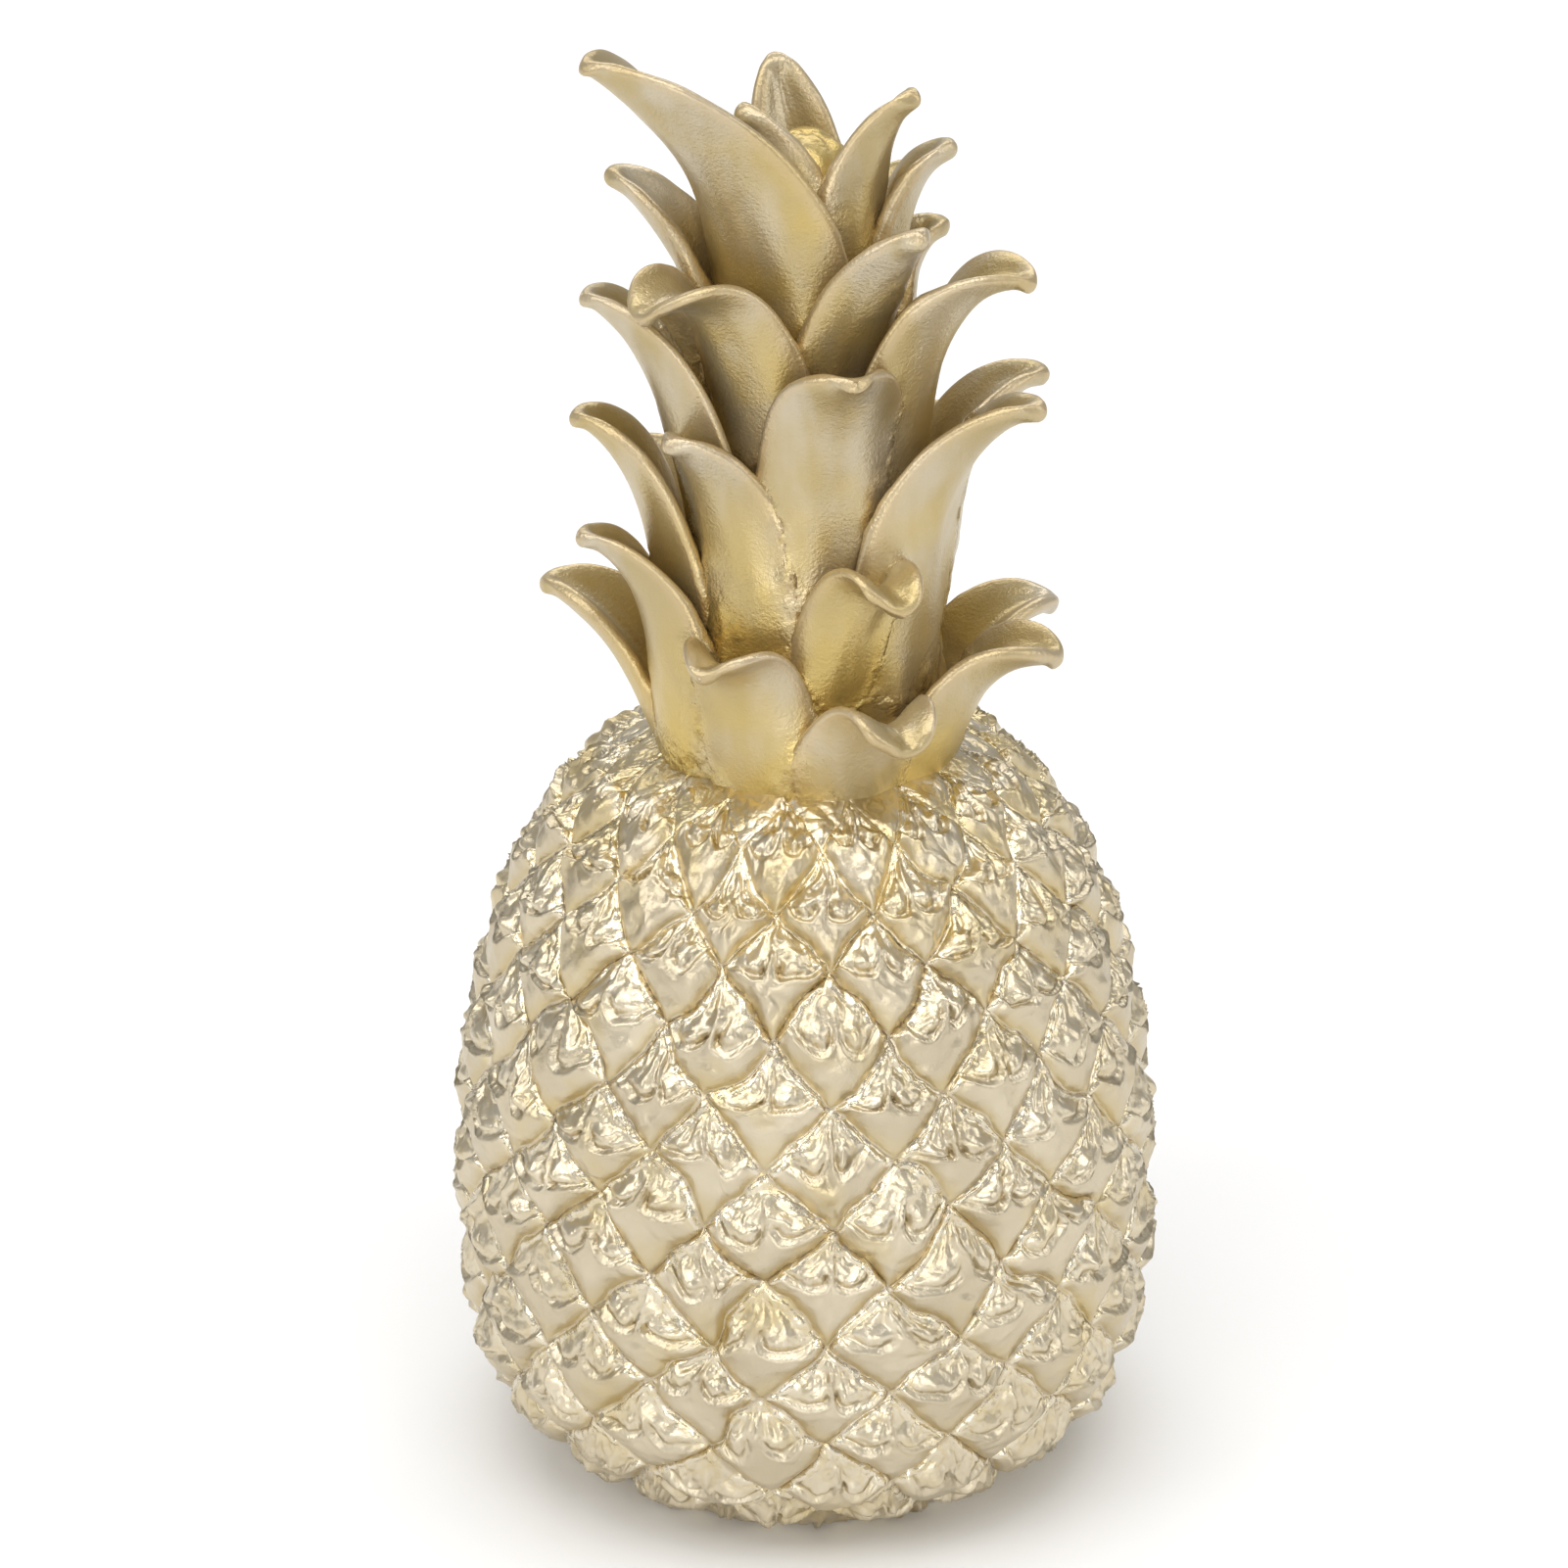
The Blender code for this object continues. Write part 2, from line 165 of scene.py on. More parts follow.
# Each leaf: azimuth and height of its base, azimuth, radius and height of its tip, half width,
# pitch of the tip above level, share of its length that rises along the core, fullness of its end
Leaf = namedtuple("Leaf", "azimuth z tip_azimuth tip_radius tip_z half_width pitch rise fullness")
LEAVES = {
    # Lowest ring
    "low_front_left": Leaf(-19, 0.142, -29, 0.042, 0.1805, 0.0130, -10, 0.62, 5.0),
    "low_front_right": Leaf(17, 0.140, 26, 0.0435, 0.1660, 0.0124, -58, 0.78, 5.0),
    "low_right": Leaf(62, 0.142, 76, 0.051, 0.174, 0.0160, -15, 0.50, 3.5),
    "low_right_back": Leaf(108, 0.142, 110, 0.053, 0.1735, 0.0135, -5, 0.50, 3.5),
    "low_back_right": Leaf(152, 0.142, 148, 0.050, 0.180, 0.0135, 5, 0.50, 3.5),
    "low_back_left": Leaf(-156, 0.142, -150, 0.050, 0.178, 0.0135, 10, 0.50, 3.5),
    "low_left_back": Leaf(-108, 0.142, -103, 0.054, 0.181, 0.0140, 20, 0.45, 4.0),
    "low_left": Leaf(-64, 0.142, -72, 0.047, 0.2015, 0.0145, 30, 0.45, 4.0),
    # Second ring
    "second_front_curl": Leaf(14, 0.162, 28, 0.039, 0.193, 0.0105, -45, 0.82, 5.0),
    "second_front_left": Leaf(-27, 0.166, -47, 0.037, 0.225, 0.0112, 40, 0.50, 6.0),
    "second_front": Leaf(8, 0.180, 15, 0.037, 0.2405, 0.0140, 40, 0.52, 8.0),
    "second_right": Leaf(50, 0.160, 66, 0.050, 0.2295, 0.0165, 20, 0.40, 3.5),
    "second_right_back": Leaf(98, 0.170, 100, 0.048, 0.2262, 0.0150, 15, 0.42, 3.5),
    "second_back_right": Leaf(142, 0.166, 138, 0.045, 0.210, 0.0140, 25, 0.42, 3.5),
    "second_back": Leaf(-172, 0.176, -176, 0.046, 0.222, 0.0140, 30, 0.42, 3.5),
    "second_back_left": Leaf(-126, 0.166, -130, 0.045, 0.204, 0.0140, 25, 0.42, 3.5),
    "second_left": Leaf(-80, 0.172, -85, 0.046, 0.2222, 0.0150, 30, 0.31, 4.5),
    # Third ring
    "third_left": Leaf(-71, 0.192, -78, 0.0445, 0.2485, 0.0170, 35, 0.32, 4.5),
    "third_front_curl": Leaf(-33, 0.210, -50, 0.041, 0.249, 0.0134, -32, 0.68, 5.0),
    "third_front_right": Leaf(24, 0.222, 38, 0.036, 0.2675, 0.0105, 50, 0.50, 4.5),
    "third_right": Leaf(58, 0.194, 70, 0.0462, 0.2528, 0.0170, 0, 0.40, 4.5),
    "third_right_back": Leaf(108, 0.218, 112, 0.030, 0.256, 0.0100, 20, 0.42, 4.0),
    "third_back_right": Leaf(156, 0.200, 152, 0.042, 0.244, 0.0130, 30, 0.40, 3.5),
    "third_back_left": Leaf(-150, 0.200, -154, 0.042, 0.248, 0.0130, 35, 0.40, 3.5),
    "third_left_back": Leaf(-108, 0.198, -113, 0.036, 0.237, 0.0145, 35, 0.42, 4.0),
    # Top ring
    "top_left": Leaf(-24, 0.232, -66, 0.0462, 0.2975, 0.0172, 42, 0.45, 7.0),
    "top_left_back": Leaf(-100, 0.224, -100, 0.0395, 0.268, 0.0115, 35, 0.42, 4.0),
    "top_back_left": Leaf(-140, 0.238, -138, 0.029, 0.270, 0.0095, 50, 0.45, 3.5),
    "top_back": Leaf(175, 0.246, 198, 0.021, 0.288, 0.0090, 75, 0.50, 5.0),
    "top_back_right": Leaf(130, 0.238, 130, 0.028, 0.266, 0.0095, 45, 0.45, 3.5),
    "top_right": Leaf(42, 0.244, 66, 0.0235, 0.289, 0.0100, 50, 0.45, 4.5),
    "top_right_back": Leaf(85, 0.234, 88, 0.029, 0.276, 0.0100, 35, 0.42, 4.0),
    "top_heart": Leaf(-12, 0.252, -60, 0.015, 0.286, 0.0090, 70, 0.50, 4.0),
}

# Swelling where one surface of the crown meets another
CREASE_REACH = 0.0060
CREASE_WIDTHS = (0.0006, 0.0030)
CREASE_FILL = 0.00070
CREASE_LUMPS = 0.00100

# Colours and surfaces
CHAMPAGNE = (0.590, 0.510, 0.366, 1.0)
# Paler gold of random patches and of the painted highlight on the wrinkled upper sides of the eyes
PALE_GOLD = (0.790, 0.712, 0.556, 1.0)
LEAF_GOLD = (0.480, 0.380, 0.195, 1.0)
LEAF_PALE = (0.560, 0.490, 0.360, 1.0)
# Deeper gold of the leaves' own tones, and of painted bounce light low on the leaves
LEAF_DEEP = (0.590, 0.435, 0.140, 1.0)
# Deeper gold of stains, and of painted shade in the grooves and in the valleys of the wrinkles
DEEP_GOLD = (0.580, 0.430, 0.130, 1.0)
BRONZE = (0.620, 0.475, 0.285, 1.0)
# Brown of painted shade in the pits, at the bottoms of the grooves and in the crown's creases
SHADE_BROWN = (0.230, 0.140, 0.040, 1.0)
PAPER = (0.93, 0.93, 0.93, 1.0)
PALE_PAPER = (0.96, 0.96, 0.96, 1.0)
WHITE = (1.0, 1.0, 1.0, 1.0)
STAIN_HEIGHTS = (0.120, 0.150)
SMOOTH_ROUGHNESS = 0.37
WRINKLED_ROUGHNESS = 0.25
SATIN_ROUGHNESS = 0.33
CREASE_ROUGHNESS = 0.22
PAPER_ROUGHNESS = 0.85
LEAF_METALLIC = 0.70
WRINKLE_BUMP = 0.0009
FRUIT_GRAIN_BUMP = 0.00008
LUMP_BUMP = 0.0010
LEAF_GRAIN_BUMP = 0.00014

# Studio floor
FLOOR_RADIUS = 4.0
FLOOR_SIDES = 96
FLOOR_DROP = 0.0002

# Soft boxes: name, place, point they face, width, height and power in watts
MIDDLE = (0.0, 0.0, 0.14)
LIGHTS = (
    ("overhead", (0.0, -0.55, 1.45), MIDDLE, 1.3, 1.0, 10.0),
    ("left_key", (-1.2, -0.7, 0.95), MIDDLE, 0.7, 1.0, 6.0),
    ("right_fill", (1.3, -0.4, 0.7), MIDDLE, 0.6, 1.0, 3.4),
    ("front_fill", (0.0, -1.9, 0.45), MIDDLE, 1.4, 0.8, 8.0),
    ("background", (0.0, 1.3, 1.4), (0.0, 1.1, 0.0), 2.2, 1.0, 16.0),
)
WORLD_STRENGTH = 0.45

# Camera: the photograph's viewing angle
CAMERA_TILT = 24.6
CAMERA_PLACE = (-0.00426, -1.1365, 0.6634)
CAMERA_LENS = 144.9
SENSOR = 36.0
CLIP_START = 0.01
CLIP_END = 50.0


# Helpers

def smoothstep(low, high, value):
    share = np.clip((value - low) / (high - low), 0.0, 1.0)
    return share * share * (3.0 - 2.0 * share)


def bump(value, centre, width):
    return np.exp(-((value - centre) / width) ** 2)


def hash_corner(ix, iy, iz, seed):
    """A repeatable number from 0 to 1 for each corner of a cubic lattice."""
    mixed = (ix * 73856093) ^ (iy * 19349663) ^ (iz * 83492791) ^ (seed * 2654435761)
    mixed = (mixed ^ (mixed >> 13)) * 1274126177
    mixed = mixed ^ (mixed >> 16)
    return (mixed & 0xFFFFFF).astype(np.float64) / 0xFFFFFF


def noise(points, size, seed):
    """Smooth noise from -1 to 1 over the points, with lumps of about a given size."""
    grid = np.asarray(points) / size
    cell = np.floor(grid).astype(np.int64)
    part = grid - cell
    part = part * part * part * (part * (part * 6.0 - 15.0) + 10.0)
    total = 0.0
    for dx in (0, 1):
        for dy in (0, 1):
            for dz in (0, 1):
                weight = (
                    (part[..., 0] if dx else 1.0 - part[..., 0])
                    * (part[..., 1] if dy else 1.0 - part[..., 1])
                    * (part[..., 2] if dz else 1.0 - part[..., 2])
                )
                corner = hash_corner(cell[..., 0] + dx, cell[..., 1] + dy, cell[..., 2] + dz, seed)
                total = total + weight * corner
    return total * 2.0 - 1.0


def mesh_object(name, points, faces, attributes, material):
    """A smooth-shaded piece that stands for the solid and carries numbers for its material."""
    mesh = bpy.data.meshes.new(name)
    mesh.from_pydata(points.tolist(), [], faces)
    mesh.shade_smooth()
    for label, values in attributes.items():
        attribute = mesh.attributes.new(label, "FLOAT", "POINT")
        attribute.data.foreach_set("value", np.asarray(values, dtype=np.float32))
    mesh.materials.append(material)
    mesh.update()
    thing = bpy.data.objects.new(name, mesh)
    bpy.context.scene.collection.objects.link(thing)
    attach(thing, "root")
    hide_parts(NODE)
    return thing


def polar(azimuth, radius, z):
    angle = radians(azimuth)
    return np.array([radius * sin(angle), -radius * cos(angle), z])


# Fruit

def measure_outline():
    """The outline as radii and heights against its length, measured down from the widest ring."""
    angles = np.linspace(*np.radians(OUTLINE_TURNS), OUTLINE_SAMPLES)
    above = angles >= 0.0
    upper = np.clip(angles, 0.0, None)
    lower = np.clip(-angles, 0.0, None)
    radii = FRUIT_RADIUS * np.where(above, np.cos(upper) ** (2.0 / SHOULDER_POWER), np.cos(lower))
    heights = np.where(
        above,
        WIDEST_Z + SHOULDER_RISE * np.sin(upper),
        WIDEST_Z - FOOT_DROP * np.sin(lower) ** (2.0 / FOOT_POWER),
    )
    steps = np.hypot(np.diff(radii), np.diff(heights))
    lengths = np.concatenate([[0.0], np.cumsum(steps)])
    lengths -= np.interp(0.0, -angles, lengths)
    return lengths, radii, heights


def fruit_points(column, row, depth):
    """Points of the fruit at places of the lattice, sunk under the outline by a depth."""
    lengths, radii, heights = measure_outline()
    place = (row - ROW_AT_WIDEST) * ROW_SPACING
    reach = ROW_SPACING / 10.0
    radius = np.interp(place, lengths, radii)
    height = np.interp(place, lengths, heights)
    run = np.interp(place + reach, lengths, radii) - radius
    fall = np.interp(place + reach, lengths, heights) - height
    slope = np.hypot(run, fall)
    radius = radius + depth * fall / slope
    height = height - depth * run / slope
    azimuth = radians(FIRST_COLUMN_AZIMUTH) + column * pi / EYE_COLUMNS
    return np.stack([radius * np.sin(azimuth), -radius * np.cos(azimuth), height], axis=-1)


def rise(reach, width, power):
    """A rounded wall that climbs from 0 at its foot to 1 at a given width from it."""
    return 1.0 - (1.0 - np.minimum(1.0, reach / width)) ** power


def soft_least(one, two):
    """The smaller of two distances, less where both are small, which rounds the corner between them."""
    one = np.maximum(one, 1e-6)
    two = np.maximum(two, 1e-6)
    return (one ** -CORNER_POWER + two ** -CORNER_POWER) ** (-1.0 / CORNER_POWER)


def between(limits, chance):
    low, high = limits
    return low + (high - low) * chance


def eye_chances(cell_a, cell_b):
    """Numbers from 0 to 1 that each eye has as its own."""
    lane = (cell_a - cell_b) % (2 * EYE_COLUMNS)
    zeros = np.zeros_like(lane)
    return [hash_corner(lane, cell_a + cell_b, zeros, CHANCE_SEED + k) for k in range(CHANCES)]


def eye_pads(side, past, chance):
    """Heights of the two pads behind the lip, and depths of the slits on both sides of the spine."""
    pads, slits = 0.0, 0.0
    for hand, k in ((-1.0, 4), (1.0, 5)):
        middle = hand * between(PAD_PLACES, chance[k + 11])
        pad = bump(side, middle, PAD_SIZE[0]) * bump(past, PAD_BEHIND_LIP, PAD_SIZE[1])
        pads = pads + between(PAD_HEIGHTS, chance[k]) * pad
        slit = bump(side, hand * SLIT_PLACE, SLIT_SIZE[0]) * bump(past, SLIT_BEHIND_LIP, SLIT_SIZE[1])
        slits = slits + SLIT_DEPTH * np.clip(chance[k + 13] - 0.15, 0.0, 1.0) * slit
    return pads, slits


def eye_folds(side, up, grain, swirl, chance):
    """Heights of the folds that fan out from the upper corner, and of the crumpled paint between them."""
    fan = side / np.maximum(0.22, 1.0 - up)
    folds = np.sin(fan * between(FOLD_TURNS, chance[11]) + 4.0 * noise(grain, 0.35, 9))
    folds = between(FOLD_HEIGHTS, chance[15]) * folds * smoothstep(0.12, 0.45, up)
    crumple = 0.26 * np.abs(noise(swirl, 0.30, 3)) + 0.13 * np.abs(noise(swirl, 0.14, 5)) - 0.08
    return folds, crumple


def eye_height(a, b, cell_a, cell_b, row, place):
    """Height of an eye's carving over its grooves, from 0 to about 1, how pitted it is, which the paint
    darkens as painted shade, and how rough it is.

    a and b run from 0 to 1 along the eye's two pairs of sides. Below the middle lies a smooth
    shield; its upper lip has two scallops and a thin spine between them, and over the lip two
    pads and their folds fall back to the upper corner. Next to the crown the eyes are only a web.
    """
    chance = eye_chances(cell_a, cell_b)
    up = 1.0 - a - b
    side = a - b - between(SPINE_LEANS, chance[0]) * (1.0 - np.abs(up))
    from_top = np.minimum(a, b)
    from_foot = soft_least(1.0 - a, 1.0 - b)
    near_crown = smoothstep(*CROWN_ROWS, row)
    grain = np.stack([side + chance[8] * 37.0, up + chance[9] * 53.0, chance[10] * 71.0], axis=-1)
    swirl = grain + 0.08 * noise(grain, 0.30, 12)[..., None]

    spine = np.exp(-np.abs(side) / between(SPINE_WIDTHS, chance[3]))
    lip = between(LIP_PLACES, chance[1])
    lip = lip + between(SCALLOP_CURVES, chance[12]) * (np.abs(side) - SCALLOP_PLACE) ** 2
    lip = lip + between(SPINE_REACHES, chance[2]) * spine + 0.05 * noise(grain, 0.25, 11)
    past = up - lip
    over = smoothstep(-0.02, 0.06, past)

    dents = (0.10 + 0.14 * chance[14] ** 2 + 0.12 * near_crown) * noise(swirl, 0.34, 7)
    dents = dents + (0.07 + 0.03 * near_crown) * noise(swirl, 0.15, 8)
    lip_edge = 0.10 * bump(past, -0.025, 0.035)
    shield = SHIELD_LEVEL + 0.20 * smoothstep(-0.95, 0.0, up) + lip_edge + dents

    pads, slits = eye_pads(side, past, chance)
    folds, crumple = eye_folds(side, up, grain, swirl, chance)
    behind_lip = 0.18 * bump(past, 0.075, 0.045) * (1.0 - spine)
    floor = FLOOR_LEVEL - 0.34 * smoothstep(0.05, 0.90, up)
    floor = floor + 0.36 * spine * (1.0 - smoothstep(0.40, 0.90, up))
    upper = floor + pads - slits - behind_lip + folds + crumple

    body = (shield * (1.0 - over) + upper * over) * between(EYE_SIZES, chance[13])
    body = body + between(SIDE_TILTS, chance[6]) * side + between(UP_TILTS, chance[7]) * up
    wall_width = SHIELD_WALL + UPPER_WALL_GAIN * over
    wall = rise(from_top, wall_width * (1.0 - 0.40 * near_crown), 2.2)
    wall = wall * rise(from_foot, FOOT_WALL * (1.0 - 0.25 * near_crown), 2.4)
    web = (cell_a + cell_b <= WEB_ROW).astype(float)
    flat_web = WEB_LEVEL + 0.10 * noise(place, 0.0060, 73) + 0.06 * noise(place, 0.0026, 74)
    body = body * (1.0 - web) + flat_web * web
    wall = wall * (1.0 - web) + rise(np.minimum(from_top, from_foot), WEB_WALL, 2.0) * web

    crinkle = noise(place, 0.0030, 71) + 0.5 * noise(place, 0.0016, 72)
    groove = GROOVE_LEVEL + 0.05 * crinkle + 0.46 * smoothstep(0.8, -0.4, row)
    cord = (CORD_HEIGHT - 0.08 * near_crown) * bump(from_top, CORD_PLACE, CORD_WIDTH)
    cord = cord * (0.9 + 0.9 * crinkle) * rise(from_foot, 0.10, 2.0)
    height = wall * body + (1.0 - wall) * groove + cord
    # How deep the slits are, which the paint darkens as painted shade in the pits
    pit_shade = np.clip((slits - 0.10) * 3.2 * over, 0.0, 1.0) * (1.0 - web)
    rough = np.maximum(over * (0.40 + 0.60 * bump(from_top, 0.0, 0.12)), bump(from_top, 0.04, 0.05))
    return height, pit_shade, np.maximum(rough, 0.7 * web)


def build_fruit(material):
    """The fruit as a fine net of diamonds that follows the lattice of eyes, in bands one under another."""
    splits = EYE_SPLITS
    half = EYE_COLUMNS * splits
    levels = np.arange(round((TOP_ROW + 1.0) * splits), round((LOW_ROW + 1.0) * splits) + 1)
    lanes = 2 * np.arange(half)[None, :] + (levels[:, None] % 2)
    level = np.repeat(levels[:, None], half, axis=1)
    first = (level + lanes) // 2
    second = (level - lanes) // 2
    row = (first + second) / splits - 1.0
    column = (first - second) / splits
    smooth = fruit_points(column, row, 0.0)
    cell_a, cell_b = first // splits, second // splits
    share_a, share_b = (first % splits) / splits, (second % splits) / splits
    height, pit_shade, rough = eye_height(share_a, share_b, cell_a, cell_b, row, smooth)
    foot = smoothstep(FOOT_ROW - 0.1, FOOT_ROW + 0.25, row)
    height = height * (1.0 - foot) + FOOT_LEVEL * foot
    calm = (1.0 - foot) * smoothstep(TOP_ROW, 0.0, row)
    for size, share, seed in SWAYS:
        column = column + share * calm * noise(smooth, size, seed)
        row = row + share * calm * noise(smooth, size, seed + 1)
    points = fruit_points(column, row, EYE_RELIEF * (1.0 - height))
    points[..., 2] = np.maximum(points[..., 2], 0.0)
    index = np.arange(len(levels) * half).reshape(len(levels), half)

    above, under = index[:-2], index[2:]
    middle = index[1:-1]
    odd = (levels[:-2] % 2 == 1)[:, None]
    beside = np.where(odd, middle, np.roll(middle, 1, axis=1))
    ahead = np.where(odd, np.roll(middle, -1, axis=1), middle)
    quads = np.stack([above, beside, under, ahead], axis=-1).reshape(-1, 4)
    eye_row = (cell_a + cell_b)[:-2].reshape(-1)

    flat = points.reshape(-1, 3)
    ends = []
    for one, two in ((0, 1), (len(levels) - 1, len(levels) - 2)):
        rings = sorted((one, two), key=lambda i: levels[i] % 2)
        ring = np.stack([index[rings[0]], index[rings[1]]], axis=-1).reshape(-1)
        ends.append(ring)
    top = [0.0, 0.0, float(flat[ends[0]][:, 2].mean())]
    foot_middle = [0.0, 0.0, 0.0]
    flat = np.vstack([flat, top, foot_middle])
    # What the paint reads: height over the grooves, which places painted shade low in them, depth of a pit,
    # which places painted shade in it, and share of wrinkles, which places a painted highlight on them.
    # The last two points are the middles of the top and of the underside.
    values = {
        "height": np.append(height.reshape(-1), (0.5, FOOT_LEVEL)),
        "pit_shade": np.append(pit_shade.reshape(-1), (0.0, 0.0)),
        "rough": np.append(rough.reshape(-1), (0.0, 0.0)),
    }
    top_at, foot_at = len(flat) - 2, len(flat) - 1
    top_fan = [[int(p), int(q), top_at] for p, q in zip(ends[0], np.roll(ends[0], -1))]
    foot_fan = [[int(q), int(p), foot_at] for p, q in zip(ends[1], np.roll(ends[1], -1))]
    fans = {"fruit_top": top_fan, "fruit_foot": foot_fan}
    pieces = []
    first_row = int(eye_row.min())
    for name, last_row in BANDS.items():
        chosen = (eye_row >= first_row) & (eye_row <= last_row)
        first_row = last_row + 1
        faces = quads[chosen].tolist() + fans.get(name, [])
        used = np.unique(np.concatenate([np.ravel(face) for face in faces]))
        order = np.full(len(flat), -1)
        order[used] = np.arange(len(used))
        placed = [[int(order[i]) for i in face] for face in faces]
        kept = {label: numbers[used] for label, numbers in values.items()}
        pieces.append(mesh_object(name, flat[used], placed, kept, material))
    return pieces


# Crown

def stem_radius(z):
    share = np.clip((z - STEM_FOOT_Z) / (STEM_TOP_Z - STEM_FOOT_Z), 0.0, 1.0)
    return STEM_FOOT_RADIUS + (STEM_TOP_RADIUS - STEM_FOOT_RADIUS) * share ** STEM_TAPER_POWER


def leaf_route(leaf):
    """The four control points of the cubic curve down the middle of a leaf's outer face."""
    up = np.array([0.0, 0.0, 1.0])
    base = polar(leaf.azimuth, stem_radius(leaf.z) - LEAF_SINK, leaf.z)
    tip = polar(leaf.tip_azimuth, leaf.tip_radius, leaf.tip_z)
    length = np.linalg.norm(tip - base)
    climb = leaf.rise * length
    out_of_base = 2 * LEAF_SINK + LEAF_BASE_THICKNESS
    lean = stem_radius(leaf.z + climb) - stem_radius(leaf.z) + out_of_base
    bend = base + climb * up + lean * polar(leaf.azimuth, 1.0, 0.0)
    pitch = radians(leaf.pitch)
    end = polar(leaf.tip_azimuth, cos(pitch), sin(pitch))
    return base, bend, tip - TIP_REACH * length * end, tip


def cubic(route, t):
    a, b, c, d = route
    s = 1.0 - t
    point = s ** 3 * a + 3 * s * s * t * b + 3 * s * t * t * c + t ** 3 * d
    run = s * s * (b - a) + 2 * s * t * (c - b) + t * t * (d - c)
    return point, run / np.linalg.norm(run)


def nose(to_tip, radius):
    """Half width of a round nose at a distance from its tip, level past its widest place."""
    reach = min(to_tip, radius)
    return sqrt(max(0.0, reach * (2.0 * radius - reach)))


def oval_turns():
    """Turns, in degrees from the top of an oval, of the points in a leaf's section."""
    rim_end = OVAL_EDGE + OVAL_RIM
    rim = np.linspace(OVAL_EDGE, rim_end, RIM_POINTS + 2)[1:-1]
    return np.concatenate([
        np.linspace(-OVAL_EDGE, OVAL_EDGE, OUTER_POINTS),
        rim,
        np.linspace(rim_end, 360.0 - rim_end, INNER_POINTS),
        360.0 - rim[::-1],
    ])


def leaf_section(leaf, route, t, chance):
    """Points round a leaf at a share of its length: outer face, rim, grooved inner face, rim."""
    centre, run = cubic(route, t)
    azimuth = radians(leaf.azimuth + (leaf.tip_azimuth - leaf.azimuth) * t)
    across = np.array([cos(azimuth), sin(azimuth), 0.0])
    across -= run * across.dot(run)
    across /= np.linalg.norm(across)
    outward = np.cross(across, run)
    swell = LEAF_BASE_WIDTH + (1.0 - LEAF_BASE_WIDTH) * min(1.0, t / LEAF_SWELL_SHARE)
    width = leaf.half_width * swell * (1.0 - t ** leaf.fullness) ** TIP_POWER
    to_tip = (1.0 - t) * np.linalg.norm(route[3] - route[0])
    width = max(width, nose(to_tip, NOSE_RADIUS), LEAST_WIDTH)
    thick = LEAF_BASE_THICKNESS + (LEAF_TIP_THICKNESS - LEAF_BASE_THICKNESS) * t
    thick = min(thick, TIP_STOUTNESS * width)
    rim = min(LEAF_RIM, RIM_STOUTNESS * width)
    cup = LEAF_CUP * width
    lean = sqrt(1.0 + 4.0 * LEAF_CUP * LEAF_CUP)

    s = np.linspace(-1.0, 1.0, OUTER_POINTS)
    span = width - RIM_INSET * rim
    ridge = (RIDGE_HEIGHT + RIDGE_SPREAD * chance[0]) * sin(pi * min(1.0, 1.3 * t))
    folds = ridge * np.cos(s * (4.2 + 1.6 * chance[1]) + 5.0 * chance[2]) * (1.0 - s ** 4)
    outer = np.stack([s * span, -cup * s * s + folds], axis=-1)

    inner_x = width - rim * 2.0 * LEAF_CUP / lean - INNER_RIM_INSET * rim
    inner_y = -cup - rim / lean
    s = np.linspace(1.0, -1.0, INNER_POINTS)
    middle = thick * (LEAF_GROOVE - 1.0)
    vein = VEIN_HEIGHT * np.exp(-np.abs(s) / VEIN_WIDTH) - INNER_WAVE * np.cos(np.abs(s) * 9.0)
    inner = np.stack([s * inner_x, middle + (inner_y - middle) * np.abs(s) ** INNER_POWER + vein], axis=-1)

    rims = []
    for start, stop in ((outer[-1], inner[0]), (inner[-1], outer[0])):
        centre_of_rim = (start + stop) / 2.0
        arm = start - centre_of_rim
        out = np.array([arm[1], -arm[0]])
        if out[0] * centre_of_rim[0] < 0.0:
            out = -out
        turns = (np.arange(1, RIM_POINTS + 1) * pi / (RIM_POINTS + 1))[:, None]
        rims.append(centre_of_rim + np.cos(turns) * arm + RIM_FULLNESS * np.sin(turns) * out)
    section = np.concatenate([outer, rims[0], inner, rims[1]])
    half = max(nose(to_tip, NOSE_HALF_THICKNESS), LEAST_WIDTH)
    turn = np.radians(oval_turns())
    oval_y = half * np.cos(turn) - NOSE_SHIFT * NOSE_HALF_THICKNESS - cup * np.sin(turn) ** 2
    oval = np.stack([width * np.sin(turn), oval_y], axis=-1)
    section = section + (oval - section) * smoothstep(*NOSE_WIDTHS, width)
    return centre + section[:, :1] * across + section[:, 1:] * outward


def vertex_normals(points, faces):
    """Unit normals at the points of a mesh whose faces are triangles or quads, in an array."""
    corners = points[faces]
    face_normals = np.cross(corners[:, 2] - corners[:, 0], corners[:, -1] - corners[:, 1])
    normals = np.zeros_like(points)
    for k in range(faces.shape[1]):
        np.add.at(normals, faces[:, k], face_normals)
    return normals / np.maximum(np.linalg.norm(normals, axis=1, keepdims=True), 1e-12)


def loft(rings):
    """Points and quads of a closed loft through rings of points, capped by a middle point at both ends."""
    count = rings.shape[1]
    index = np.arange(rings.shape[0] * count).reshape(rings.shape[:2])
    after = np.roll(index, -1, axis=1)
    quads = np.stack([index[:-1], after[:-1], after[1:], index[1:]], axis=-1).reshape(-1, 4)
    points = np.vstack([rings.reshape(-1, 3), rings[0].mean(axis=0), rings[-1].mean(axis=0)])
    low, high = len(points) - 2, len(points) - 1
    caps = [[int(q), int(p), low] for p, q in zip(index[0], after[0])]
    caps += [[int(p), int(q), high] for p, q in zip(index[-1], after[-1])]
    return points, quads, caps


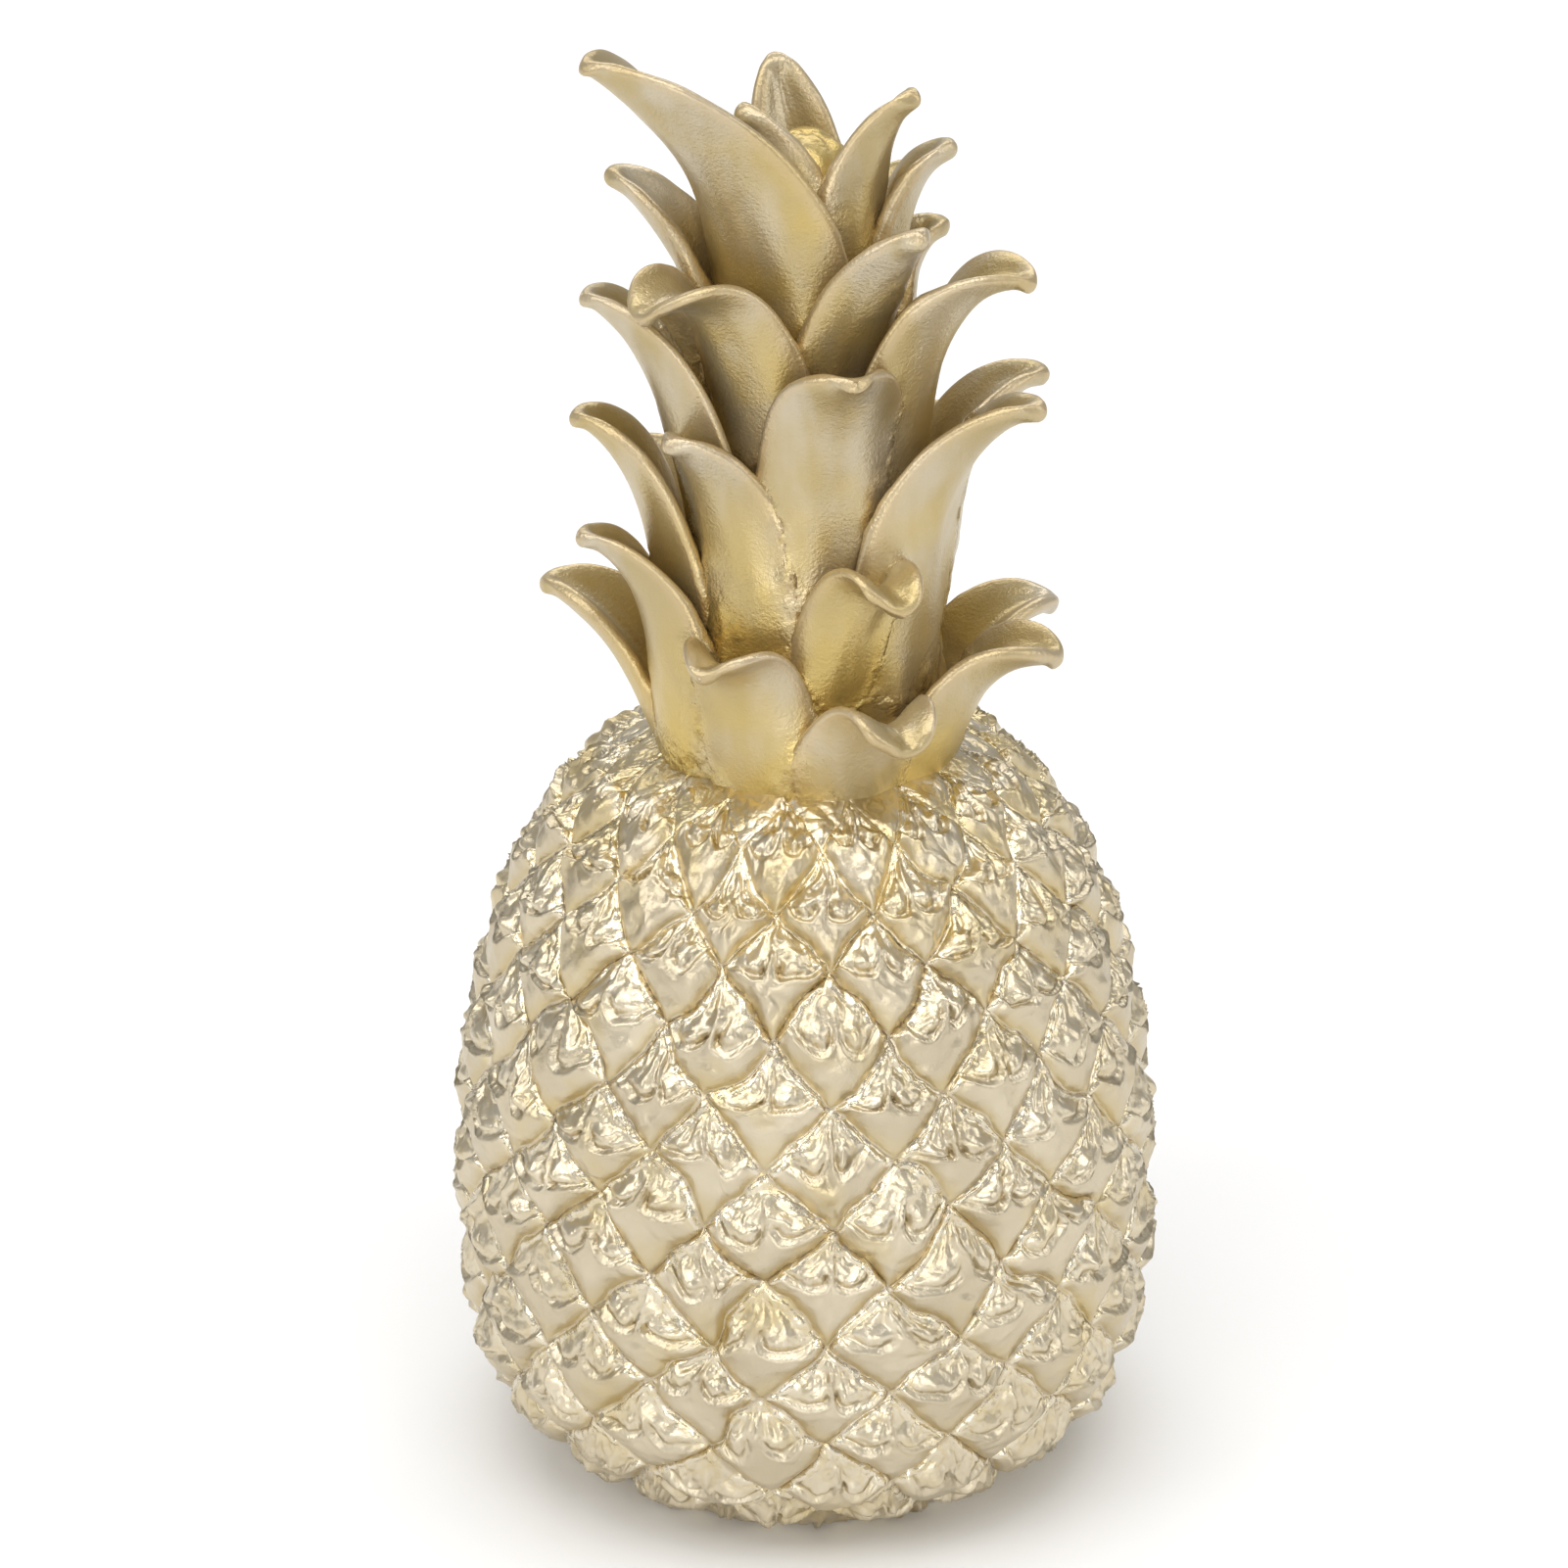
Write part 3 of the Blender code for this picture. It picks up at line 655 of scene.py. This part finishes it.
def rim_closeness():
    """How close each point of a leaf's section lies to its rims, from 0 to 1."""
    outer = np.abs(np.linspace(-1.0, 1.0, OUTER_POINTS)) ** 8
    inner = np.abs(np.linspace(-1.0, 1.0, INNER_POINTS)) ** 8
    rim = np.ones(RIM_POINTS)
    return np.concatenate([outer, rim, inner, rim])


def build_leaf(leaf, order):
    """One leaf: points, quads, end caps, share of length and closeness to the rim, and its own tone."""
    chance = [float(hash_corner(np.int64(order), np.int64(7), np.int64(3), LEAF_SEED + k)) for k in range(6)]
    route = leaf_route(leaf)
    shares = 1.0 - (1.0 - np.linspace(0.0, 1.0, LEAF_STATIONS)) ** STATION_CROWDING
    rings = np.array([leaf_section(leaf, route, t, chance) for t in shares])
    points, quads, caps = loft(rings)
    along = np.concatenate([np.repeat(shares, rings.shape[1]), (0.0, 1.0)])
    normals = vertex_normals(points, quads)
    if np.dot(normals[OUTER_POINTS // 2 + rings.shape[1] * 5], polar(leaf.azimuth, 1.0, 0.0)) < 0.0:
        quads = quads[:, ::-1]
        caps = [cap[::-1] for cap in caps]
        normals = -normals
    sway = sum(reach * noise(points, size, seed + order) for reach, size, seed in LEAF_SWAYS)
    points = points + normals * (sway * smoothstep(0.05, 0.25, along))[:, None]
    edge = np.append(np.tile(rim_closeness(), LEAF_STATIONS), (0.0, 1.0))
    edge = np.maximum(edge, smoothstep(0.95, 1.0, along))
    return points, quads, caps, along, edge, chance[4]


def build_stem():
    """The core of the crown, rough between the leaves, and the round bud on top of it."""
    turns = np.linspace(0.0, pi / 2.0, BUD_LEVELS + 1)[1:-1]
    heights = np.linspace(STEM_FOOT_Z, STEM_TOP_Z, STEM_LEVELS)
    radii = np.append(stem_radius(heights), STEM_TOP_RADIUS * np.cos(turns))
    heights = np.append(heights, STEM_TOP_Z + BUD_RISE * np.sin(turns))
    angles = np.linspace(0.0, 2.0 * pi, STEM_SIDES, endpoint=False)
    rings = np.stack(
        [
            radii[:, None] * np.cos(angles)[None, :],
            radii[:, None] * np.sin(angles)[None, :],
            np.repeat(heights[:, None], STEM_SIDES, axis=1),
        ],
        axis=-1,
    )
    points, quads, caps = loft(rings)
    normals = vertex_normals(points, quads)
    lumps = sum(reach * np.abs(noise(points, size, seed)) for reach, size, seed in STEM_LUMPS)
    points = points + normals * lumps[:, None]
    return points, quads, caps, np.zeros(len(points)), np.zeros(len(points)), 0.5


def near_other(shells, which):
    """Distance from each point of one shell to the nearest other shell, up to the crease's reach."""
    points = shells[which]["points"]
    nearest = np.full(len(points), CREASE_REACH)
    for other, shell in enumerate(shells):
        if other == which:
            continue
        low, high = shell["low"] - CREASE_REACH, shell["high"] + CREASE_REACH
        inside = np.all((points > low) & (points < high), axis=1)
        for i in np.flatnonzero(inside):
            found = shell["tree"].find_nearest(Vector(points[i]), CREASE_REACH)
            if found[3] is not None:
                nearest[i] = min(nearest[i], found[3])
    return nearest


def build_crown(material):
    """All the leaves and the core in one piece, swollen a little where they meet."""
    parts = [build_leaf(leaf, order) for order, leaf in enumerate(LEAVES.values())]
    parts.append(build_stem())
    shells = []
    for points, quads, caps, *_ in parts:
        shells.append(
            {
                "points": points,
                "low": points.min(axis=0),
                "high": points.max(axis=0),
                "tree": BVHTree.FromPolygons(points.tolist(), quads.tolist() + caps),
            }
        )
    # What the paint reads: closeness to another surface, share of the leaf's length,
    # closeness to its rim, and the leaf's own tone
    all_points, all_faces = [], []
    values = {"crease": [], "along": [], "edge": [], "tone": []}
    start = 0
    for which, (points, quads, caps, along, edge, tone) in enumerate(parts):
        near = near_other(shells, which)
        thin, wide = CREASE_WIDTHS
        crease = np.exp(-near / (thin + (wide - thin) * smoothstep(-0.2, 0.5, noise(points, 0.016, 32))))
        crease = crease * smoothstep(CREASE_REACH, 0.7 * CREASE_REACH, near)
        lumps = np.abs(noise(points, 0.0030, 31)) + 0.6 * np.abs(noise(points, 0.0015, 33))
        swelling = crease * (CREASE_FILL + CREASE_LUMPS * lumps)
        points = points + vertex_normals(points, quads) * swelling[:, None]
        all_points.append(points)
        all_faces += (quads + start).tolist()
        all_faces += [[i + start for i in cap] for cap in caps]
        values["crease"].append(crease)
        values["along"].append(along)
        values["edge"].append(edge)
        values["tone"].append(np.full(len(points), tone))
        start += len(points)
    values = {label: np.concatenate(numbers) for label, numbers in values.items()}
    return mesh_object("crown", np.concatenate(all_points), all_faces, values, material)


# Materials

class Nodes:
    """Short names for making the nodes of a material."""

    def __init__(self, material):
        material.use_nodes = True
        self.tree = material.node_tree
        self.shader = self.tree.nodes["Principled BSDF"]

    def add(self, kind, settings=None, **inputs):
        node = self.tree.nodes.new(kind)
        for name, value in (settings or {}).items():
            setattr(node, name, value)
        for name, value in inputs.items():
            self.feed(node.inputs[name.replace("_", " ")], value)
        return node

    def feed(self, socket, value):
        if isinstance(value, bpy.types.NodeSocket):
            self.tree.links.new(value, socket)
        else:
            socket.default_value = value

    def attribute(self, name):
        return self.add("ShaderNodeAttribute", {"attribute_name": name}).outputs["Fac"]

    def place(self):
        return self.add("ShaderNodeTexCoord").outputs["Object"]

    def noise(self, scale, detail=3.0, roughness=0.5, stretch=(1.0, 1.0, 1.0)):
        mapping = self.add("ShaderNodeMapping", None, Vector=self.place(), Scale=stretch)
        texture = self.add("ShaderNodeTexNoise", None, Vector=mapping.outputs[0], Scale=scale,
                           Detail=detail, Roughness=roughness)
        return texture.outputs["Fac"]

    def ramp(self, value, low, high, start=0.0, end=1.0):
        node = self.add("ShaderNodeMapRange", {"interpolation_type": "SMOOTHSTEP"}, Value=value)
        for name, number in (("From Min", low), ("From Max", high), ("To Min", start), ("To Max", end)):
            node.inputs[name].default_value = number
        return node.outputs["Result"]

    def math(self, operation, one, two=0.0):
        node = self.add("ShaderNodeMath", {"operation": operation})
        self.feed(node.inputs[0], one)
        self.feed(node.inputs[1], two)
        return node.outputs[0]

    def mix(self, share, one, two):
        node = self.add("ShaderNodeMix", {"data_type": "RGBA"})
        self.feed(node.inputs["Factor"], share)
        self.feed(node.inputs["A"], one)
        self.feed(node.inputs["B"], two)
        return node.outputs["Result"]

    def bump(self, height, distance, normal=None):
        node = self.add("ShaderNodeBump", None, Height=height, Distance=distance)
        if normal is not None:
            self.feed(node.inputs["Normal"], normal)
        return node.outputs["Normal"]

    def shade(self, **inputs):
        for name, value in inputs.items():
            self.feed(self.shader.inputs[name.replace("_", " ")], value)


def fruit_material():
    """Glossy gold paint: paler on the wrinkled upper sides as a painted highlight, with painted shade, brown
    in the pits and deeper gold down the grooves and in the valleys of the wrinkles.
    """
    material = bpy.data.materials.new("gold_fruit")
    nodes = Nodes(material)
    rough = nodes.attribute("rough")
    height = nodes.attribute("height")
    pit_shade = nodes.attribute("pit_shade")
    patches = nodes.ramp(nodes.noise(45.0, roughness=0.55), 0.40, 0.66, end=0.35)
    # Painted highlight: the wrinkled upper sides of the eyes are paler, on top of random paler patches
    painted_highlight_and_patches = nodes.math("ADD", nodes.math("MULTIPLY", rough, 0.65), patches)
    base = nodes.mix(painted_highlight_and_patches, CHAMPAGNE, PALE_GOLD)
    stains = nodes.ramp(nodes.noise(60.0, detail=4.0), 0.52, 0.72)
    base = nodes.mix(nodes.math("MULTIPLY", stains, 0.30), base, DEEP_GOLD)
    up = nodes.add("ShaderNodeSeparateXYZ", None, Vector=nodes.place()).outputs["Z"]
    crown_stains = nodes.ramp(nodes.noise(85.0, detail=2.0), 0.45, 0.60)
    near_crown = nodes.math("MULTIPLY", nodes.ramp(up, *STAIN_HEIGHTS), crown_stains)
    base = nodes.mix(nodes.math("MULTIPLY", near_crown, 0.40), base, DEEP_GOLD)
    # Painted shade: deeper gold down the smooth grooves, and brown at the bottom of every groove
    smoothness = nodes.math("SUBTRACT", 0.8, rough)
    groove_shade = nodes.math("MULTIPLY", nodes.ramp(height, 0.75, 0.25), smoothness)
    groove_shade_share = nodes.math("MAXIMUM", nodes.math("MULTIPLY", groove_shade, 0.4))
    base = nodes.mix(groove_shade_share, base, DEEP_GOLD)
    base = nodes.mix(nodes.ramp(height, 0.24, 0.07, end=0.42), base, SHADE_BROWN)
    # Painted shade: brown in the pits, where the slits are deep
    base = nodes.mix(nodes.ramp(pit_shade, 0.45, 1.0, end=0.75), base, SHADE_BROWN)
    waves = nodes.noise(300.0, detail=1.5, roughness=0.4)
    folds = nodes.math("ABSOLUTE", nodes.math("SUBTRACT", waves, 0.5))
    # Painted shade: deeper gold in the valleys of the wrinkles, where the bump below dips
    wrinkle_shade = nodes.ramp(folds, 0.070, 0.010, end=0.30)
    wrinkle_shade = nodes.math("MULTIPLY", wrinkle_shade, nodes.ramp(rough, 0.10, 0.80))
    base = nodes.mix(wrinkle_shade, base, DEEP_GOLD)
    gloss = nodes.ramp(rough, 0.0, 1.0, start=SMOOTH_ROUGHNESS, end=WRINKLED_ROUGHNESS)
    wrinkles = nodes.math("MULTIPLY", folds, nodes.ramp(rough, 0.0, 1.0, start=0.20))
    normal = nodes.bump(wrinkles, WRINKLE_BUMP)
    normal = nodes.bump(nodes.noise(1600.0, detail=2.0, roughness=0.6), FRUIT_GRAIN_BUMP, normal)
    nodes.shade(Base_Color=base, Metallic=1.0, Roughness=gloss, Normal=normal)
    return material


def crown_material():
    """Satin gold paint: deeper and yellower low on the leaves, partly its own tone and partly painted bounce
    light in the recesses there, thick and shiny in the creases, with brown specks of painted shade along
    them.
    """
    material = bpy.data.materials.new("gold_crown")
    nodes = Nodes(material)
    crease = nodes.attribute("crease")
    along = nodes.attribute("along")
    tone = nodes.attribute("tone")
    edge = nodes.attribute("edge")
    streaks = nodes.noise(70.0, roughness=0.55, stretch=(1.0, 1.0, 0.35))
    base = nodes.mix(nodes.ramp(streaks, 0.38, 0.66), LEAF_GOLD, LEAF_PALE)
    # Deeper, yellower gold low on the leaves in random blotches: partly the paint's own tone, partly painted
    # bounce light in the recesses
    low = nodes.ramp(along, 0.85, 0.15)
    blotch = nodes.ramp(nodes.noise(38.0, detail=2.5), 0.40, 0.57, start=0.22)
    base = nodes.mix(nodes.math("MULTIPLY", low, blotch), base, LEAF_DEEP)
    base = nodes.mix(nodes.ramp(tone, 0.6, 1.0, end=0.25), base, LEAF_DEEP)
    base = nodes.mix(nodes.ramp(edge, 0.2, 1.0, end=0.40), base, BRONZE)
    # Painted shade: brown specks along the creases where one surface meets another
    specks = nodes.ramp(nodes.noise(600.0), 0.45, 0.65)
    crease_shade = nodes.math("MULTIPLY", nodes.ramp(crease, 0.45, 0.95), specks)
    base = nodes.mix(nodes.math("MULTIPLY", crease_shade, 0.5), base, SHADE_BROWN)
    satin = nodes.ramp(crease, 0.15, 0.6, start=SATIN_ROUGHNESS, end=CREASE_ROUGHNESS)
    lumps = nodes.ramp(crease, 0.2, 0.9, start=0.05, end=0.6)
    lumps = nodes.math("MULTIPLY", nodes.noise(420.0, detail=2.5), lumps)
    normal = nodes.bump(lumps, LUMP_BUMP)
    normal = nodes.bump(nodes.noise(1500.0, detail=2.0, roughness=0.6), LEAF_GRAIN_BUMP, normal)
    nodes.shade(Base_Color=base, Metallic=LEAF_METALLIC, Roughness=satin, Normal=normal)
    return material


# Studio

def build_floor():
    """A plain pale floor, large enough to fill the view."""
    bpy.ops.mesh.primitive_circle_add(
        vertices=FLOOR_SIDES, radius=FLOOR_RADIUS, fill_type="NGON", location=(0.0, 0.0, -FLOOR_DROP)
    )
    floor = bpy.context.object
    floor.name = "studio_floor"
    material = bpy.data.materials.new("studio_paper")
    nodes = Nodes(material)
    tint = nodes.mix(nodes.noise(3.0, detail=2.0), PAPER, PALE_PAPER)
    nodes.shade(Base_Color=tint, Roughness=PAPER_ROUGHNESS)
    floor.data.materials.append(material)


def add_light(name, place, aim, width, height, power):
    data = bpy.data.lights.new(name, "AREA")
    data.shape = "RECTANGLE"
    data.size = width
    data.size_y = height
    data.energy = power
    light = bpy.data.objects.new(name, data)
    light.location = place
    light.rotation_euler = (Vector(aim) - Vector(place)).to_track_quat("-Z", "Y").to_euler()
    bpy.context.scene.collection.objects.link(light)


def build_lights():
    """Large soft boxes above, left, right and in front, one for the floor behind, and an even surround."""
    for light in LIGHTS:
        add_light(*light)
    world = bpy.data.worlds.new("studio")
    bpy.context.scene.world = world
    world.use_nodes = True
    background = world.node_tree.nodes["Background"]
    background.inputs["Color"].default_value = WHITE
    background.inputs["Strength"].default_value = WORLD_STRENGTH


def build_camera():
    data = bpy.data.cameras.new("photo_camera")
    data.lens = CAMERA_LENS
    data.sensor_width = SENSOR
    data.clip_start = CLIP_START
    data.clip_end = CLIP_END
    camera = bpy.data.objects.new("photo_camera", data)
    camera.location = CAMERA_PLACE
    camera.rotation_euler = (radians(90.0 - CAMERA_TILT), 0.0, 0.0)
    bpy.context.scene.collection.objects.link(camera)
    bpy.context.scene.camera = camera


build_camera()
build_fruit(fruit_material())
build_crown(crown_material())
build_floor()
build_lights()
bpy.context.scene.view_settings.view_transform = "Standard"
